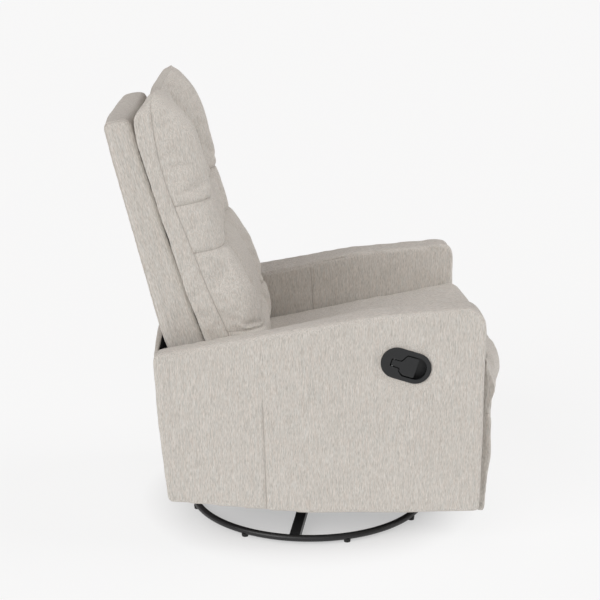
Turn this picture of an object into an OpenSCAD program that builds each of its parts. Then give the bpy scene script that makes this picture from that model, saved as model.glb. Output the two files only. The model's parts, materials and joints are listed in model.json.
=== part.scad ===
// Glider nursery chair: an upholstered recliner on a swivelling, gliding base.
// The chair faces -Y, +Z is up and X = 0 is its plane of symmetry. The origin is on the
// floor, on the swivel axis. Right and left are the sitter's: right is -X, left is +X.

/* [Chair] */
// Width over both arms
overall_w = 660; // [640:1:720]
// Width of one arm
arm_w = 78; // [74:1:84]
// Slope of the seat, up towards the front
seat_slope = 10.8; // [10:0.1:11.5]
// Height of the back cushion's top
back_top = 1045; // [1038:1:1048]
// Reach of the footrest's padding in front of the swivel axis
front_reach = 458; // [450:1:460]

/* [Base] */
// Radius of the floor ring, to the middle of its tube
ring_r = 288; // [280:1:300]
// Diameter of the ring's tube
ring_tube_d = 16; // [15:1:18]
// Height of the middle of the ring's tube
ring_z = 13.5; // [13:0.5:15]
// Turn of the base's crossbars away from the chair's own axes
base_turn = -8.7; // [-45:0.1:45]
// Width of the crossbars
bar_w = 24; // [22:1:28]

/* [Glider] */
// Length of a swing link, between its pivots
swing_l = 120; // [110:1:122]
// Distance of the swing links' pivots from the middle, forward and back
swing_f = 110; // [100:1:112]

/* [Footrest] */
// Length of a drive link, between its pivots
drive_l = 200; // [198:1:202]
// Length of a lift link, between its pivots
lift_l = 200; // [198:1:202]

/* [Release lever] */
// Length of the lever's bezel
bezel_l = 115; // [112:1:117]
// Width of the bezel
bezel_w = 71; // [68:1:74]
// Tilt of the bezel, down towards the front
lever_tilt = 17.5; // [0:0.5:20]

/* [Hidden] */
$fn = 48;

right = -1;
left = 1;
gap = 0.2;          // between pieces that only lie against each other
run = 0.06;         // radial clearance of a pin in a bore that turns on it
half_w = overall_w / 2;
arm_in = half_w - arm_w;    // half the clear width between the arms

// Heights of the stack on the floor ring
bar_h = 18;
bar_top = ring_z + 8.5;
hub_t = 5;
hub_top = bar_top + hub_t;
race_t = 6;
ball_r = 4;
ball_ring_r = 47.5;
ball_z = hub_top + race_t + 1;
upper_race_z = hub_top + race_t + 2;
plate_z = upper_race_z + race_t;
plate_t = 4;
plate_top = plate_z + plate_t;
kingpin_r = 10;
foot_spread = 24.7;     // turn of the feet away from the bars, to both sides

// Glider: stands on the swivel plate, and rails that hang from them on links
sheet_t = 3;
stand_x = 143;          // inner face of a stand's web
link_x = 149;           // inner face of a swing link
link_t = 5;
link_r = 13;
rail_x = 162;           // inner face of a glide rail
rail_t = 4;
swing_pin_r = 5;
swing_low_z = 78;
swing_top_z = swing_low_z + swing_l;
rail_z = [60, 92];      // a glide rail's lower and upper edge
cross_z = [92, 122];    // a cross rail's lower and upper edge

// Seat: everything on it follows one slope line, given by its height above f = 0
seat_half = arm_in - 3;
frame_low = 247;
frame_high = 303;
cushion_low = 306;
cushion_high = 411;
track_mid = 225;
track_h = 30;
seat_plate_x = 228;     // inner face of a seat plate

// Pivots, as [forward, up]
back_pivot = [-230, 340];
drive_pivot = [236, 270];
drive_dir = -80;        // direction of the drive link when the footrest is stowed
lift_dir = 60;          // direction of the lift link then
knee_pivot = drive_pivot + drive_l * [cos(drive_dir), sin(drive_dir)];
board_pivot = knee_pivot + lift_l * [cos(lift_dir), sin(lift_dir)];
drive_link_x = 222;     // inner faces of the footrest's links, from the seat plate inwards
lift_link_x = 216;
board_ear_x = 210;
drive_pin_r = 7;
knee_pin_r = 5;
board_back = 384;       // the footrest board's back face when stowed
board_t = 10;

// Release lever, on the right arm
lever_f = 203;
lever_z = 447;
cup_depth = 22;
cup_wall = 3;
flange_t = 3;
lever_axis_a = -29;     // the lever's own hinge, along the bezel from its middle
lever_axis_depth = -5;
lever_pin_r = 2;
lever_mid = -1;         // middle of the lever's tab, across the bezel

// Back: its outer shell and cushion lean back from the hinge
shell_half = 226;
shell_wall = 8;

// ---------- Outlines: [forward, up, corner radius], anticlockwise ----------

arm_outline = [
    [0, 92, 400], [379, 92, 12], [382, 582, 46], [120, 559, 700], [-357, 475, 20],
    [-350, 320, 900], [-331, 125, 10]
];

seat_outline = [
    [-192, seat_z(-192, cushion_low) + 2, 12], [381, seat_z(381, cushion_low), 6],
    [381, 432, 3], [421, 432, 4], [424, 440, 10], [394, 488, 30],
    [-192, seat_z(-192, cushion_high), 25]
];

shell_outline = [
    [-306, 388, 8], [-216, 388, 6], [-315, 689, 300], [-381, 914, 200],
    [-399, 984, 16], [-461.6, 974, 16], [-348, 508, 900]
];

back_cushion_outline = [
    [-205, seat_z(-205, cushion_high) + 6, 14], [-90, seat_z(-90, cushion_high) + 6, 25],
    [-107, 500, 60], [-190, 705, 200], [-228, 800, 60], [-237, 885, 90],
    [-312, back_top, 34], [-374, back_top, 24], [-378, 930, 60],
    [-308, 690, 300], [-226, 450, 100]
];

footrest_outline = [
    [board_back - 1, 57, 8], [412, 57, 14], [438, 200, 60], [438, 285, 20], [424, 301, 4],
    [front_reach, 318, 30], [front_reach, 395, 34], [430, 427, 14], [board_back + board_t + 1, 427, 4],
    [board_back + board_t + 1, 74, 1], [board_back - 1, 74, 1]
];

// ---------- Helpers ----------

function flat(p) = [p[0], p[1]];
function unit(v) = v / norm(v);
function turned(v, a) = [v[0] * cos(a) - v[1] * sin(a), v[0] * sin(a) + v[1] * cos(a)];

// Height of a line along the seat's slope at distance f forward
function seat_z(f, above) = above + f * tan(seat_slope);

// Points of the arc that rounds corner q, between its neighbours p and s
function corner(p, q, s, steps = 6) =
    let (
        u = unit(flat(p) - flat(q)),
        v = unit(flat(s) - flat(q)),
        half = acos(u * v) / 2,
        reach = min(q[2] / tan(half), 0.48 * norm(flat(p) - flat(q)), 0.48 * norm(flat(s) - flat(q))),
        r = reach * tan(half),
        centre = flat(q) + unit(u + v) * r / sin(half),
        first = flat(q) + u * reach - centre,
        last = flat(q) + v * reach - centre,
        sweep = sign(first[0] * last[1] - first[1] * last[0]) * (180 - 2 * half)
    )
    [for (i = [0:steps]) centre + turned(first, sweep * i / steps)];

function rounded(outline) =
    let (n = len(outline))
    [for (i = [0:n - 1]) each corner(outline[(i + n - 1) % n], outline[i], outline[(i + 1) % n])];

// The unit normal that points into an anticlockwise outline from its edge p to q
function inward(p, q) = let (e = unit(flat(q) - flat(p))) [-e[1], e[0]];

// The same outline drawn d further in
function inset(outline, d) =
    let (n = len(outline))
    [for (i = [0:n - 1])
        let (
            a = inward(outline[(i + n - 1) % n], outline[i]),
            b = inward(outline[i], outline[(i + 1) % n]),
            p = flat(outline[i]) + (a + b) * d / (1 + a * b)
        )
        [p[0], p[1], max(outline[i][2] - d, 0.5)]];

// Stands a side profile on edge, w thick across the chair and centred on X = at
module across(w, at = 0)
    translate([at, 0, 0]) rotate([90, 0, -90]) linear_extrude(height = w, center = true) children();

// The same, filling X from a to b on the given side
module across_from(side, a, b) across(b - a, side * (a + b) / 2) children();

// A cylinder along X, from a to b on the given side, at [forward, up]
module crosswise(side, at, r, a, b)
    translate([side * (a + b) / 2, -at[0], at[1]]) rotate([0, 90, 0])
        cylinder(r = r, h = b - a, center = true);

// A flat bar with eyes at both ends, between two points of the side profile
module bar_2d(a, b, r) {
    d = b - a;
    waist = 0.98 * r;
    translate(a) circle(r = r);
    translate(b) circle(r = r);
    translate(a) rotate(atan2(d[1], d[0])) translate([0, -waist]) square([norm(d), 2 * waist]);
}

// A strip along the seat's slope, from f0 to f1 and from low to high above the slope line
module slope_strip(f0, f1, low, high)
    polygon([[f0, seat_z(f0, low)], [f1, seat_z(f1, low)], [f1, seat_z(f1, high)], [f0, seat_z(f0, high)]]);

// A headed hexagon bolt pointing down, with its head's underside at z = 0
module bolt_down(r, shank, head_r, head_h) {
    cylinder(r = head_r, h = head_h, $fn = 6);
    translate([0, 0, -shank]) cylinder(r = r, h = shank + 0.01);
}

// The middle line of a zigzag spring, and a flat ribbon of wire that follows it
function wave(t, size, pitch) = size * sin(360 * t / pitch);
function wave_slope(t, size, pitch) = size * 2 * PI / pitch * cos(360 * t / pitch);
module zigzag_2d(length, size, pitch, wire) {
    steps = 8 * round(length / pitch);
    function rim(i, s) =
        let (t = i * length / steps, m = wave_slope(t, size, pitch))
        [t - s * m / norm([1, m]) * wire / 2, wave(t, size, pitch) + s / norm([1, m]) * wire / 2];
    polygon([
        for (i = [0:steps]) rim(i, -1),
        for (i = [steps:-1:0]) rim(i, 1)
    ]);
}

// ---------- Base ----------

module ring_tube(clearance = 0)
    translate([0, 0, ring_z]) rotate_extrude($fn = 96)
        translate([ring_r, 0]) circle(r = ring_tube_d / 2 + clearance);

module base_ring() color("#1c1c1d") ring_tube();

module box_tube(l) {
    wall = 2;
    translate([-l / 2, -bar_w / 2, bar_top - bar_h]) difference() {
        cube([l, bar_w, bar_h]);
        translate([-1, wall, wall]) cube([l + 2, bar_w - 2 * wall, bar_h - 2 * wall]);
    }
}

hub_bolt_r = 4;
hub_bolt_circle = 70;
module hub_bolt_holes()
    for (a = [0:90:270]) rotate(a) translate([hub_bolt_circle, 0, bar_top - bar_h + 4])
        cylinder(r = hub_bolt_r + gap, h = 40);

module base_crossbar() color("#1c1c1d") rotate(base_turn) difference() {
    rotate(90) box_tube(2 * ring_r);
    ring_tube(0.1);
    outside_ring();
    hub_bolt_holes();
}

module base_half_bars() color("#1c1c1d") rotate(base_turn) difference() {
    box_tube(2 * ring_r);
    ring_tube(0.1);
    outside_ring();
    hub_bolt_holes();
    cube([bar_w + 2 * gap, 200, 200], center = true);
}

// Trims the crossbars' ends off at the middle of the ring's tube
module outside_ring() difference() {
    cylinder(r = ring_r + 60, h = 120, center = true);
    cylinder(r = ring_r - 4, h = 140, center = true);
}

module base_feet() color("#161616") difference() {
    for (a = [0:90:270], s = [-1, 1]) rotate(base_turn + a + s * foot_spread) translate([ring_r, 0, 0])
        cylinder(r1 = 7.5, r2 = 8.5, h = ring_z - 5);
    ring_tube(0.1);
}

module hub_plate() color("#1c1c1d") rotate(base_turn) difference() {
    translate([0, 0, bar_top]) cylinder(r = 85, h = hub_t);
    translate([0, 0, bar_top - 1]) cylinder(r = kingpin_r + 0.05, h = hub_t + 2);
    hub_bolt_holes();
}

module hub_bolts() color("#8b8d90") rotate(base_turn)
    for (a = [0:90:270]) rotate(a) translate([hub_bolt_circle, 0, hub_top])
        bolt_down(hub_bolt_r, 16, 7, 5);

module race(z) translate([0, 0, z]) difference() {
    cylinder(r = ball_ring_r + 8, h = race_t);
    translate([0, 0, -1]) cylinder(r = ball_ring_r - 9, h = race_t + 2);
    translate([0, 0, ball_z - z]) rotate_extrude() translate([ball_ring_r, 0]) circle(r = ball_r + 0.1);
}

module lower_race() color("#9c9ea0") race(hub_top);

module bearing_balls() color("#c9cbce")
    for (a = [0:30:330]) rotate(a) translate([ball_ring_r, 0, ball_z]) sphere(r = ball_r);

module kingpin() color("#8b8d90") {
    translate([0, 0, bar_top + 0.1]) cylinder(r = kingpin_r, h = 36);
    translate([0, 0, hub_top]) cylinder(r = 22, h = 3);
}

module kingpin_nut() color("#8b8d90") translate([0, 0, plate_top + 1]) difference() {
    cylinder(r = 17, h = 10, $fn = 6);
    translate([0, 0, -1]) cylinder(r = kingpin_r + 0.05, h = 12);
}

// ---------- Turntable ----------

module upper_race() color("#9c9ea0") race(upper_race_z);

stand_bolt_at = [[131, 80], [131, -80]];
module stand_bolt_places()
    for (side = [right, left], p = stand_bolt_at) translate([side * p[0], p[1], 0]) children();

module swivel_plate() color("#232324") difference() {
    translate([0, 0, plate_z]) linear_extrude(height = plate_t)
        polygon(rounded([[-145, -125, 20], [145, -125, 20], [145, 125, 20], [-145, 125, 20]]));
    translate([0, 0, plate_z - 1]) cylinder(r = kingpin_r + run, h = plate_t + 2);
    stand_bolt_places() translate([0, 0, plate_z - 1]) cylinder(r = 4 + gap, h = plate_t + 2);
}

module glide_stand(side) color("#232324") difference() {
    union() {
        across_from(side, stand_x, stand_x + sheet_t) polygon(rounded([
            [-125, plate_top, 1], [125, plate_top, 1],
            [swing_f + 14, swing_top_z + 12, 12], [swing_f - 20, swing_top_z + 12, 20],
            [60, swing_top_z - 42, 30], [-60, swing_top_z - 42, 30],
            [20 - swing_f, swing_top_z + 12, 20], [-14 - swing_f, swing_top_z + 12, 12]
        ]));
        across_from(side, stand_x - 25, stand_x)
            translate([-124, plate_top]) square([248, sheet_t]);
    }
    stand_bolt_places() translate([0, 0, plate_top - 1]) cylinder(r = 4 + gap, h = 10);
    for (f = [-swing_f, swing_f])
        crosswise(side, [f, swing_top_z], swing_pin_r + 0.05, stand_x - 5, stand_x + 10);
    for (f = [-60, 0, 60]) crosswise(side, [f, 110], 18, stand_x - 5, stand_x + 10);
}

module stand_tubes() color("#232324") for (f = [-80, 80])
    difference() {
        crosswise(left, [f, 150], 9, -stand_x + gap, stand_x - gap);
        crosswise(left, [f, 150], 7, -stand_x - 1, stand_x + 1);
    }

module stand_bolts() color("#8b8d90")
    stand_bolt_places() translate([0, 0, plate_top + sheet_t]) bolt_down(4, 12, 7, 5);

module upper_swing_pins() color("#8b8d90") for (side = [right, left], f = [-swing_f, swing_f]) {
    crosswise(side, [f, swing_top_z], swing_pin_r, stand_x - 1, link_x + link_t + 4);
    crosswise(side, [f, swing_top_z], 8, stand_x - 5, stand_x - gap);
}

// ---------- Swing links ----------

module swing_link(side, f) color("#2b2b2c") difference() {
    across_from(side, link_x, link_x + link_t) bar_2d([f, swing_low_z], [f, swing_top_z], link_r);
    for (z = [swing_low_z, swing_top_z])
        crosswise(side, [f, z], swing_pin_r + run, link_x - 1, link_x + link_t + 1);
}

// ---------- Carriage ----------

front_rail_f = [190, 215];
rear_rail_f = [-250, -225];

module glide_rail(side) color("#232324") difference() {
    across_from(side, rail_x, rail_x + rail_t)
        translate([rear_rail_f[0], rail_z[0]])
            square([front_rail_f[1] - rear_rail_f[0], rail_z[1] - rail_z[0]]);
    for (f = [-swing_f, swing_f])
        crosswise(side, [f, swing_low_z], swing_pin_r + 0.05, rail_x - 1, rail_x + rail_t + 1);
}

module lower_swing_pins() color("#8b8d90") for (side = [right, left], f = [-swing_f, swing_f]) {
    crosswise(side, [f, swing_low_z], swing_pin_r, link_x - 2, rail_x + rail_t + 1);
    crosswise(side, [f, swing_low_z], 8, rail_x + rail_t + gap, rail_x + rail_t + 4);
}

// A square steel tube across the chair, between the arms
module cross_rail(f) {
    wall = 2;
    difference() {
        across(2 * (arm_in - gap)) translate([f[0], cross_z[0] + gap])
            square([f[1] - f[0], cross_z[1] - cross_z[0]]);
        across(2 * arm_in) translate([f[0] + wall, cross_z[0] + gap + wall])
            square([f[1] - f[0] - 2 * wall, cross_z[1] - cross_z[0] - 2 * wall]);
    }
}

module front_cross_rail() color("#232324") cross_rail(front_rail_f);
module rear_cross_rail() color("#232324") cross_rail(rear_rail_f);

module seat_track(side) color("#232324") difference() {
    across_from(side, seat_plate_x + 8, arm_in - gap)
        slope_strip(-200, 250, track_mid - track_h / 2, track_mid + track_h / 2);
    across_from(side, seat_plate_x + 7, arm_in - gap - sheet_t)
        slope_strip(-201, 251, track_mid - track_h / 2 + sheet_t, track_mid + track_h / 2 - sheet_t);
}

skin = 13;              // thickness of padding and fabric over an arm's frame
frame_rail = 34;

module arm_frame(side) color("#c8a876") across_from(side, arm_in + skin + 3, half_w - skin - 13) {
    difference() {
        polygon(rounded(inset(arm_outline, skin + gap)));
        polygon(rounded(inset(arm_outline, skin + frame_rail)));
    }
    translate([-20, 92 + skin + frame_rail - 1]) square([frame_rail, 370]);
}

module arm_cover(side) difference() {
    across_from(side, arm_in, half_w) polygon(rounded(arm_outline));
    across_from(side, arm_in + skin, half_w - skin) {
        polygon(rounded(inset(arm_outline, skin)));
        translate([-250, 60]) square([570, 60]);
    }
}

module arm_cover_left() color("#cdc6bd") arm_cover(left);

module arm_cover_right() color("#cdc6bd") difference() {
    arm_cover(right);
    on_lever() translate([0, 0, -60]) linear_extrude(height = 70)
        stadium(bezel_l - 10 + 2 * gap, bezel_w - 10 + 2 * gap);
    on_lever() translate([0, 0, -flange_t - gap]) linear_extrude(height = 10)
        stadium(bezel_l + 2 * gap, bezel_w + 2 * gap);
    crosswise(right, [180, 185], 7, arm_in - 1, arm_in + skin + 1);
}

module rear_panel() color("#cdc6bd") across(2 * (arm_in - 0.5))
    polygon(rounded([[-329, 110, 3], [-317, 110, 3], [-350.5, 455, 2], [-357, 455, 3]]));

module rear_lining() color("#0c0c0c") across(2 * (arm_in - 4))
    polygon([[-334, 300], [-331, 300], [-346.5, 452], [-349.5, 452]]);

// Places the lever's parts: x along the bezel, forward, z out of the arm's side
module on_lever()
    translate([-half_w, -lever_f, lever_z]) rotate([90, 0, -90]) rotate(-lever_tilt) children();

// A flat shape with straight long sides and round ends
module stadium(l, w) {
    for (s = [-1, 1]) translate([s * (l - w) / 2, 0]) circle(r = w / 2);
    square([l - w, w], center = true);
}

// Outlines on the bezel's face: the T-shaped handle, and the opening it lies in
handle_outline = [
    [-33, -8, 2], [-12, -9, 2], [-11, -17, 4], [-1, -23, 4], [24, -23, 3],
    [24, 22, 3], [-3, 22, 4], [-10, 9, 4], [-13, 6, 2], [-33, 6, 2]
];
cup_opening = [
    [-35.5, -10, 3], [-14, -11, 2], [-13, -18, 5], [-2, -26, 6], [47, -26, 26],
    [47, 26, 26], [-4, 24.5, 5], [-12, 11, 4], [-15, 8, 2], [-35.5, 8, 3]
];

// Places a cylinder on the lever's hinge
module on_lever_axis()
    translate([lever_axis_a, lever_mid, lever_axis_depth]) rotate([90, 0, 0]) children();

module lever_cup() color("#121212") on_lever() difference() {
    union() {
        translate([0, 0, -cup_depth]) linear_extrude(height = cup_depth - 1)
            stadium(bezel_l - 10, bezel_w - 10);
        translate([0, 0, -flange_t]) linear_extrude(height = flange_t) stadium(bezel_l, bezel_w);
    }
    difference() {
        translate([0, 0, cup_wall - cup_depth]) linear_extrude(height = cup_depth - cup_wall - flange_t)
            stadium(bezel_l - 10 - 2 * cup_wall, bezel_w - 10 - 2 * cup_wall);
        for (s = [-1, 1]) translate([lever_axis_a - 5, lever_mid + s * 12 - 2.5, -cup_depth])
            cube([10, 5, cup_depth]);
    }
    translate([0, 0, -flange_t - 1]) linear_extrude(height = flange_t + 2) polygon(rounded(cup_opening));
    on_lever_axis() cylinder(r = lever_pin_r + 0.05, h = 32, center = true);
}

module lever_pin() color("#8b8d90") on_lever() on_lever_axis()
    cylinder(r = lever_pin_r, h = 28, center = true);

module lever_handle() color("#101010") on_lever() difference() {
    union() {
        translate([0, 0, -4.5]) linear_extrude(height = 4) polygon(rounded(handle_outline));
        on_lever_axis() cylinder(r = 4, h = 13, center = true);
    }
    on_lever_axis() cylinder(r = lever_pin_r + run, h = 15, center = true);
}

// The release cable, from the lever's cup down inside the arm to the latch
cable_d = 5;
cable_route = [
    [-311, -194, 416], [-311, -194, 408], [-311, -193, 390], [-311, -192, 365],
    [-311, -191, 335], [-311, -189, 305], [-311, -187, 275], [-311, -184, 248],
    [-310, -182, 226], [-304, -181, 206], [-292, -180, 193], [-278, -180, 186],
    [-264, -180, 185], [-255, -180, 185], [-250, -180, 185]
];

// Rings of points round a route whose run lies mostly in planes of constant Y
module tube(route, d, sides = 8) {
    n = len(route);
    function along(i) = unit(route[min(i + 1, n - 1)] - route[max(i - 1, 0)]);
    rings = [for (i = [0:n - 1])
        let (u = unit(cross(along(i), [0, 1, 0])), v = cross(along(i), u))
        for (k = [0:sides - 1]) route[i] + d / 2 * (u * cos(360 * k / sides) + v * sin(360 * k / sides))];
    walls = [for (i = [0:n - 2], k = [0:sides - 1])
        let (a = i * sides + k, b = i * sides + (k + 1) % sides)
        each [[a, b, b + sides], [a, b + sides, a + sides]]];
    caps = [[for (k = [sides - 1:-1:0]) k], [for (k = [0:sides - 1]) (n - 1) * sides + k]];
    polyhedron(points = rings, faces = [each walls, each caps]);
}

module release_cable() color("#151515") tube(cable_route, cable_d);

module latch_housing() color("#151515") difference() {
    across_from(right, seat_plate_x + 10, arm_in - gap)
        polygon(rounded([[160, 155, 4], [200, 155, 4], [200, 200, 4], [160, 200, 4]]));
    crosswise(right, [180, 185], 3, seat_plate_x + 14, arm_in + 1);
}

// ---------- Seat ----------

seat_rear = -215;
seat_front = 378;
rail_w = 22;

module seat_side_rails() color("#c8a876") for (side = [right, left])
    across_from(side, seat_half - 11 - rail_w, seat_half - 11)
        slope_strip(seat_rear, seat_front, frame_low, frame_high);

module seat_cross_rail(f0, f1, low) color("#c8a876")
    across(2 * (seat_half - 11 - rail_w - gap)) slope_strip(f0, f1, low, frame_high);
module seat_front_rail() seat_cross_rail(seat_front - 24, seat_front, frame_low);
module seat_rear_rail() seat_cross_rail(seat_rear, seat_rear + rail_w, frame_high - 40);

module seat_springs() color("#55585b") for (x = [-160:80:160])
    translate([x, 190, seat_z(-190, frame_high - 8)]) rotate([-seat_slope, 0, 0]) rotate(-90)
        linear_extrude(height = 4) zigzag_2d(551, 20, 40, 4);

module seat_cushion() color("#cdc6bd") across(2 * seat_half) polygon(rounded(seat_outline));

module seat_plate(side) color("#2b2b2c") difference() {
    across_from(side, seat_plate_x, seat_plate_x + sheet_t) polygon(rounded([
        [-246, 168, 10], [200, 246, 60], [drive_pivot[0], drive_pivot[1] - 14, 12],
        [272, 262, 10], [272, seat_z(272, frame_low) - gap, 1],
        [-216, seat_z(-216, frame_low) - gap, 4], [-216, 356, 14], [-246, 356, 15]
    ]));
    crosswise(side, back_pivot, 6 + run, seat_plate_x - 1, seat_plate_x + sheet_t + 1);
    crosswise(side, drive_pivot, drive_pin_r + 0.05, seat_plate_x - 1, seat_plate_x + sheet_t + 1);
}

slide_h = track_h - 2 * sheet_t - 1;
module slide_blocks() color("#e6e4de") for (side = [right, left], f = [-150, 60])
    across_from(side, seat_plate_x + sheet_t + gap, arm_in - sheet_t - 1)
        slope_strip(f, f + 50, track_mid - slide_h / 2, track_mid + slide_h / 2);

module footrest_pivot_pins() color("#8b8d90") for (side = [right, left]) {
    crosswise(side, drive_pivot, drive_pin_r, drive_link_x + 0.4, seat_plate_x + sheet_t + 1);
    crosswise(side, drive_pivot, 10, seat_plate_x + sheet_t + gap, seat_plate_x + sheet_t + 3);
}

// ---------- Back ----------

module back_shell() color("#cdc6bd") difference() {
    across(2 * shell_half) polygon(rounded(shell_outline));
    across(2 * (shell_half - shell_wall)) polygon(rounded([
        [-297, 380, 1], [-150, 380, 1], [-243, 689, 1], [-370, 960, 1],
        [-411, 973, 8], [-449, 965, 10], [-339, 508, 300]
    ]));
}

// Leaning line of the back's frame: its front edge at height z
function back_f(z) = -272 - (z - 395) * 0.24;
module lean_strip(z0, z1, behind, ahead)
    polygon([
        [back_f(z0) - behind, z0], [back_f(z0) + ahead, z0],
        [back_f(z1) + ahead, z1], [back_f(z1) - behind, z1]
    ]);

upright_x = [191, 213];
module back_frame() color("#c8a876") {
    for (side = [right, left]) across_from(side, upright_x[0], upright_x[1]) lean_strip(396, 948, 28, 0);
    for (z = [[398, 430], [640, 672], [914, 946]])
        across(2 * upright_x[0] + 2) lean_strip(z[0], z[1], 28, -2);
}

module back_springs() color("#55585b") for (z = [480, 560, 745, 835])
    translate([-186, -back_f(z) - 1.5, z]) rotate([76.5, 0, 0])
        linear_extrude(height = 4) zigzag_2d(372, 17, 40, 4);

module back_lining() color("#0c0c0c") across(2 * (shell_half - shell_wall - 0.5))
    polygon([
        [-229, 394], [-225, 394], [-323, 689], [-389, 914], [-401, 958], [-405, 958],
        [-393, 914], [-327, 689]
    ]);

module back_cushion() color("#cdc6bd") across(2 * seat_half) polygon(rounded(back_cushion_outline));

module back_hinge_brackets() color("#2b2b2c") for (side = [right, left]) difference() {
    across_from(side, upright_x[1] + gap, upright_x[1] + gap + 4) polygon(rounded([
        [-246, 326, 12], [-216, 326, 12], [-216, 352, 12], [-274, 425, 20],
        [-292, 505, 10], [-316, 500, 10], [-302, 412, 20], [-246, 348, 8]
    ]));
    crosswise(side, back_pivot, 6.05, upright_x[1] - 1, upright_x[1] + 8);
}

module back_hinge_pins() color("#8b8d90") for (side = [right, left]) {
    crosswise(side, back_pivot, 6, upright_x[1] - 2, seat_plate_x + sheet_t + 2);
    crosswise(side, back_pivot, 9, upright_x[1] - 4, upright_x[1]);
}

// ---------- Footrest ----------

module footrest_drive_links() color("#2b2b2c") for (side = [right, left]) {
    difference() {
        across_from(side, drive_link_x, drive_link_x + link_t) bar_2d(drive_pivot, knee_pivot, 12);
        crosswise(side, drive_pivot, drive_pin_r + run, drive_link_x - 1, drive_link_x + link_t + 1);
    }
    crosswise(side, knee_pivot, knee_pin_r, lift_link_x - 1, drive_link_x + 1);
}

module footrest_torque_tube() color("#2b2b2c") difference() {
    crosswise(left, drive_pivot, 11, -drive_link_x + gap, drive_link_x - gap);
    crosswise(left, drive_pivot, 9, -drive_link_x - 1, drive_link_x + 1);
}

module footrest_lift_links() color("#2b2b2c") for (side = [right, left]) {
    difference() {
        across_from(side, lift_link_x, lift_link_x + link_t) bar_2d(knee_pivot, board_pivot, 10);
        crosswise(side, knee_pivot, knee_pin_r + run, lift_link_x - 1, lift_link_x + link_t + 1);
    }
    crosswise(side, board_pivot, knee_pin_r, board_ear_x - 1, lift_link_x + 1);
}

module footrest_board() {
    color("#c8a876") across(2 * (seat_half - 9)) translate([board_back, 75]) square([board_t, 345]);
    color("#2b2b2c") for (side = [right, left]) difference() {
        across_from(side, board_ear_x, board_ear_x + link_t) polygon(rounded([
            [board_back - 22, board_pivot[1] - 14, 10], [board_back + 0.5, board_pivot[1] - 40, 2],
            [board_back + 0.5, board_pivot[1] + 40, 2], [board_back - 22, board_pivot[1] + 14, 10]
        ]));
        crosswise(side, board_pivot, knee_pin_r + run, board_ear_x - 1, board_ear_x + link_t + 1);
    }
}

module footrest_padding() color("#cdc6bd") across(2 * seat_half) polygon(rounded(footrest_outline));

// ---------- The chair ----------

base_ring();
base_crossbar();
base_half_bars();
base_feet();
hub_plate();
hub_bolts();
lower_race();
bearing_balls();
kingpin();
kingpin_nut();
upper_race();
swivel_plate();
glide_stand(right);  // glide_stand_right
glide_stand(left);  // glide_stand_left
stand_tubes();
stand_bolts();
upper_swing_pins();
swing_link(right, swing_f);  // front_swing_link_right
swing_link(left, swing_f);  // front_swing_link_left
swing_link(right, -swing_f);  // rear_swing_link_right
swing_link(left, -swing_f);  // rear_swing_link_left
glide_rail(right);  // glide_rail_right
glide_rail(left);  // glide_rail_left
lower_swing_pins();
front_cross_rail();
rear_cross_rail();
seat_track(right);  // seat_track_right
seat_track(left);  // seat_track_left
arm_frame(right);  // arm_frame_right
arm_frame(left);  // arm_frame_left
arm_cover_right();
arm_cover_left();
rear_panel();
rear_lining();
lever_cup();
lever_pin();
release_cable();
latch_housing();
lever_handle();
seat_side_rails();
seat_front_rail();
seat_rear_rail();
seat_springs();
seat_cushion();
seat_plate(right);  // seat_plate_right
seat_plate(left);  // seat_plate_left
slide_blocks();
footrest_pivot_pins();
back_frame();
back_springs();
back_lining();
back_shell();
back_cushion();
back_hinge_brackets();
back_hinge_pins();
footrest_drive_links();
footrest_torque_tube();
footrest_lift_links();
footrest_board();
footrest_padding();
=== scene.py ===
import json
import math

import bmesh
import bpy
import numpy as np
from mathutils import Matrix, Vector


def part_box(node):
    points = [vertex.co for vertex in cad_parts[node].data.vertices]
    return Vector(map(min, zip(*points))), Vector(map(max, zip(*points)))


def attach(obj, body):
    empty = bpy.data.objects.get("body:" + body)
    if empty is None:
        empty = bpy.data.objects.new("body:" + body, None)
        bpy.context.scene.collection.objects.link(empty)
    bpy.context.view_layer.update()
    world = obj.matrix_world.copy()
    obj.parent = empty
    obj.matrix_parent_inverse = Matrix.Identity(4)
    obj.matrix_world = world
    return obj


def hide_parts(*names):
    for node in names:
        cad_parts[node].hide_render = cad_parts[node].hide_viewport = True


# The looks of a glider nursery chair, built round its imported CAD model. The chair faces -Y.
# Lengths are metres. A side view's points are (forward, up), where forward is -Y.

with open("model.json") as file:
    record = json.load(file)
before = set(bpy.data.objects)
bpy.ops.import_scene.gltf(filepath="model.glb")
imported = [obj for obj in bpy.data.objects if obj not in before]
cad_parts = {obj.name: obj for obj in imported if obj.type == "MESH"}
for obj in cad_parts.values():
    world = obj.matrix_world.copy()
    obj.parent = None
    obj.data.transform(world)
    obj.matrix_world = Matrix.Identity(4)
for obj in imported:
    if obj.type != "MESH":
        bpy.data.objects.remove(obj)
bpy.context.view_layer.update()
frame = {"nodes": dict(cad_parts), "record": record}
MM = 0.001
SEED = 11


# ---------- Mesh helpers ----------

def new_object(name, verts, faces):
    """A mesh object with outward normals and smooth shading."""
    mesh = bpy.data.meshes.new(name)
    mesh.from_pydata([tuple(v) for v in verts], [], [tuple(f) for f in faces])
    edit = bmesh.new()
    edit.from_mesh(mesh)
    bmesh.ops.recalc_face_normals(edit, faces=edit.faces)
    edit.to_mesh(mesh)
    edit.free()
    mesh.polygons.foreach_set("use_smooth", [True] * len(mesh.polygons))
    obj = bpy.data.objects.new(name, mesh)
    bpy.context.scene.collection.objects.link(obj)
    return obj


def points_of(obj):
    co = np.empty(len(obj.data.vertices) * 3)
    obj.data.vertices.foreach_get("co", co)
    return co.reshape(-1, 3)


def move_points(obj, points):
    obj.data.vertices.foreach_set("co", points.ravel())
    obj.data.update()


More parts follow.
